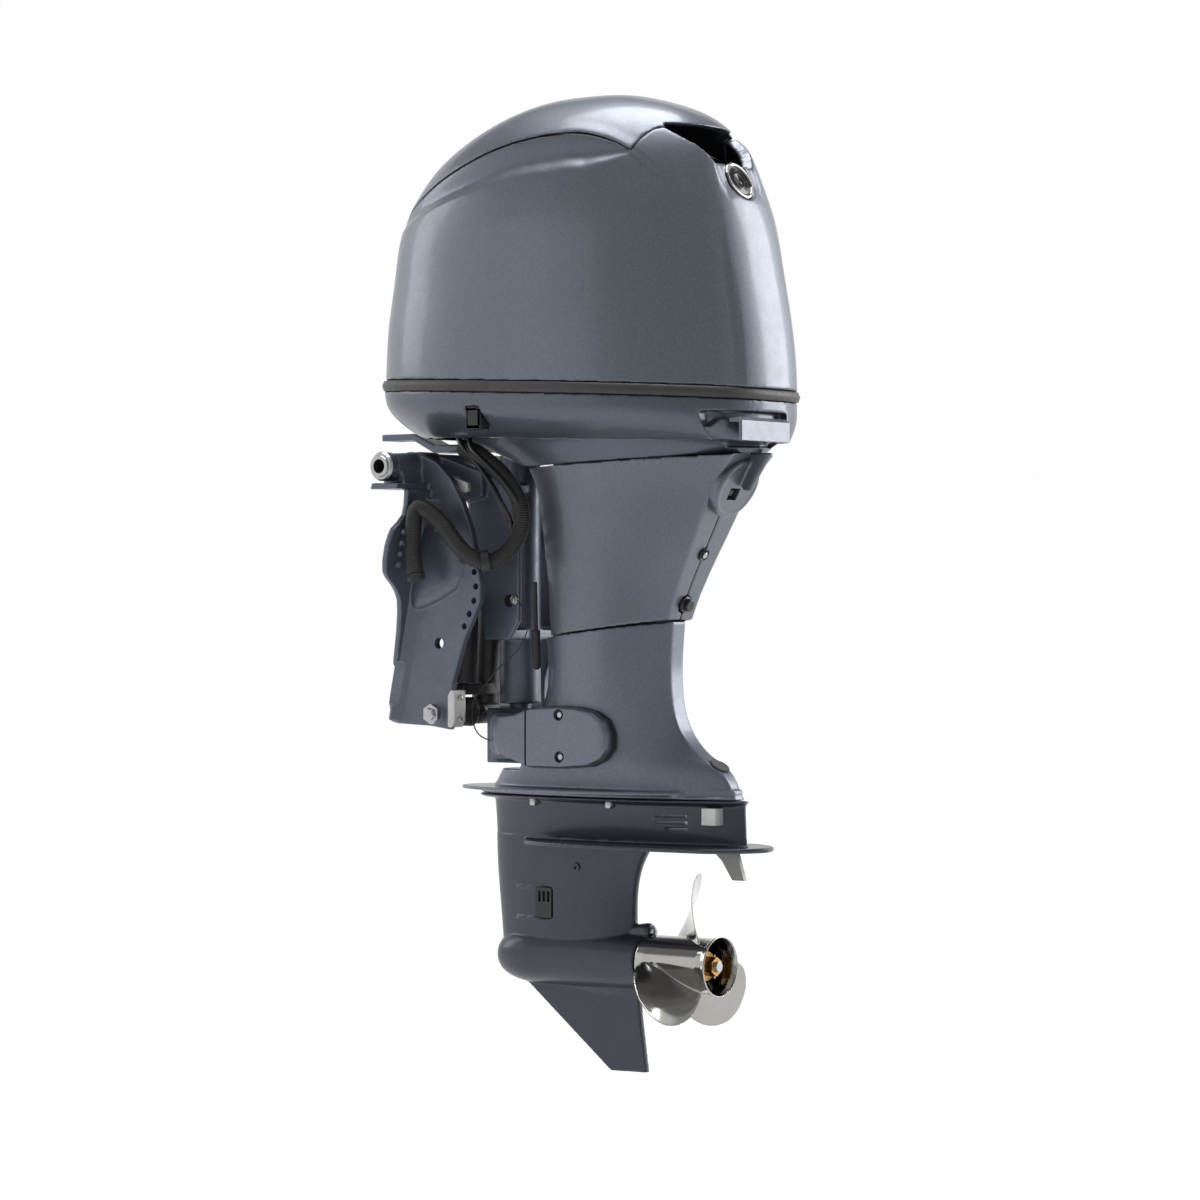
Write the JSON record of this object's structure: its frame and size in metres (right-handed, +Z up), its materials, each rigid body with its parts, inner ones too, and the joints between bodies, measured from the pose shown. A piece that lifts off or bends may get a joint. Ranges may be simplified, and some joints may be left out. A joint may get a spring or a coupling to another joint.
{
  "type": "outboard motor",
  "caption": "Long-shaft four-stroke outboard motor with power trim and tilt, cowling, transom brackets, gearcase and propeller.",
  "frame": {"origin": "on the centre plane, where the transom's top edge meets its aft face, under the clamp brackets' hooks", "axes": "+Z up, +Y aft (towards the propeller), +X to port"},
  "size_m": [0.384, 0.702, 1.405],
  "materials": {
    "paint": "satin metallic",
    "leg_paint": "satin metallic",
    "black_plastic": "matte",
    "rubber": "matte",
    "steel": "machined",
    "stainless": "polished",
    "cast_aluminium": "cast",
    "zinc": "cast",
    "brass": "machined"
  },
  "bodies": {
    "transom_brackets": {"clamp_bracket_port": "leg_paint", "clamp_bracket_starboard": "leg_paint", "tilt_tube": "steel", "tie_rod": "steel", "bracket_anode": "zinc"},
    "swivel": {"swivel_bracket": "leg_paint", "hose_clip": "black_plastic", "rigging_hose": "rubber"},
    "support_lever": {"tilt_support_lever": "zinc"},
    "ram_cylinder": {"trim_cylinder": "black_plastic", "trim_motor": "black_plastic"},
    "ram_rod": {"trim_rod": "steel"},
    "motor": {"lower_cowl": "paint", "apron_port": "paint", "apron_starboard": "paint", "flush_fitting": "black_plastic", "exhaust_housing": "paint", "lower_mount_cover_port": "paint", "lower_mount_cover_starboard": "paint", "oil_pan": "cast_aluminium", "gearcase": "leg_paint", "water_inlets": "black_plastic", "side_anodes": "zinc", "trim_tab": "zinc", "bearing_carrier": "cast_aluminium", "water_pump_housing": "cast_aluminium", "guide_plate": "cast_aluminium", "cylinder_block": "cast_aluminium", "cylinder_head": "cast_aluminium", "head_cover": "black_plastic", "timing_belt": "rubber", "intake_manifold": "black_plastic", "starter_motor": "black_plastic", "oil_filter": "leg_paint", "control_box": "black_plastic", "steering_shaft": "leg_paint", "lower_yoke": "leg_paint", "leg_guard_bar": "black_plastic"},
    "cowl": {"top_cowl": "paint", "cowl_top_cover": "paint", "intake_duct": "black_plastic", "cowl_badge": "black_plastic", "cowl_seal": "rubber"},
    "latch": {"latch_lever": "paint"},
    "trim_rocker": {"trim_switch": "black_plastic"},
    "crank": {"crankshaft": "steel", "flywheel": "steel", "driveshaft": "steel", "pinion_gear": "steel", "pump_impeller": "rubber"},
    "cam": {"camshaft": "steel"},
    "propeller_shaft": {"propeller": "stainless", "hub_bush": "rubber", "prop_nut": "brass", "cotter_pin": "steel", "prop_shaft": "steel"},
    "forward_gear": {"forward_gear": "steel"},
    "reverse_gear": {"reverse_gear": "steel"},
    "dog": {"clutch_dog": "steel"},
    "shift": {"shift_rod": "steel"}
  },
  "joints": [
    {"name": "tilt", "type": "hinge", "parent": "transom_brackets", "child": "swivel", "pos_m": [0, -0.029, 0.033], "axis": [1, 0, 0], "range_deg": [0, 65]},
    {"name": "steering", "type": "hinge", "parent": "swivel", "child": "motor", "pos_m": [0, 0.085, 0], "axis": [0, 0, 1], "range_deg": [-32, 32], "deforming": ["rigging_hose"]},
    {"name": "support_lever_fold", "type": "hinge", "parent": "swivel", "child": "support_lever", "pos_m": [0, 0.027, 0.014], "axis": [1, 0, 0], "range_deg": [-80, 0]},
    {"name": "ram_swing", "type": "hinge", "parent": "transom_brackets", "child": "ram_cylinder", "pos_m": [0, 0.018, -0.327], "axis": [1, 0, 0], "range_deg": [-5.83, 0]},
    {"name": "ram_stroke", "type": "slide", "parent": "ram_cylinder", "child": "ram_rod", "axis": [0, 0.0673, 0.9977], "range_m": [0, 0.11758]},
    {"name": "cowl_lift", "type": "slide", "parent": "motor", "child": "cowl", "axis": [0, 0, 1], "range_m": [0, 0.45]},
    {"name": "latch_pull", "type": "hinge", "parent": "motor", "child": "latch", "pos_m": [0, 0.5215, 0.0895], "axis": [1, 0, 0], "range_deg": [0, 40]},
    {"name": "trim_rocker_press", "type": "hinge", "parent": "motor", "child": "trim_rocker", "pos_m": [0.166, 0.138, 0.099], "axis": [0, 1, 0], "range_deg": [-6, 6], "stiffness_Nm_per_rad": 0.5},
    {"name": "crank_spin", "type": "hinge", "parent": "motor", "child": "crank", "pos_m": [0, 0.18, 0], "axis": [0, 0, 1], "continuous": true},
    {"name": "cam_spin", "type": "hinge", "parent": "motor", "child": "cam", "pos_m": [0, 0.352, 0], "axis": [0, 0, 1], "continuous": true},
    {"name": "propeller_spin", "type": "hinge", "parent": "motor", "child": "propeller_shaft", "pos_m": [0, 0, -0.681], "axis": [0, 1, 0], "continuous": true},
    {"name": "forward_gear_spin", "type": "hinge", "parent": "motor", "child": "forward_gear", "pos_m": [0, 0, -0.681], "axis": [0, 1, 0], "continuous": true},
    {"name": "reverse_gear_spin", "type": "hinge", "parent": "motor", "child": "reverse_gear", "pos_m": [0, 0, -0.681], "axis": [0, 1, 0], "continuous": true},
    {"name": "dog_slide", "type": "slide", "parent": "propeller_shaft", "child": "dog", "axis": [0, 1, 0], "range_m": [0, 0.008]},
    {"name": "shift_turn", "type": "hinge", "parent": "motor", "child": "shift", "pos_m": [0, 0.128, 0], "axis": [0, 0, 1], "range_deg": [0, 60]}
  ],
  "couplings": [
    {"joint": "ram_swing", "follows": "tilt", "ratio": -0.0897},
    {"joint": "ram_stroke", "follows": "tilt", "m_per_rad": 0.10364},
    {"joint": "cam_spin", "follows": "crank_spin", "ratio": 0.5},
    {"joint": "propeller_spin", "follows": "crank_spin", "ratio": 0.42857},
    {"joint": "forward_gear_spin", "follows": "crank_spin", "ratio": 0.42857},
    {"joint": "reverse_gear_spin", "follows": "crank_spin", "ratio": -0.42857},
    {"joint": "dog_slide", "follows": "shift_turn", "m_per_rad": 0.0076394}
  ]
}
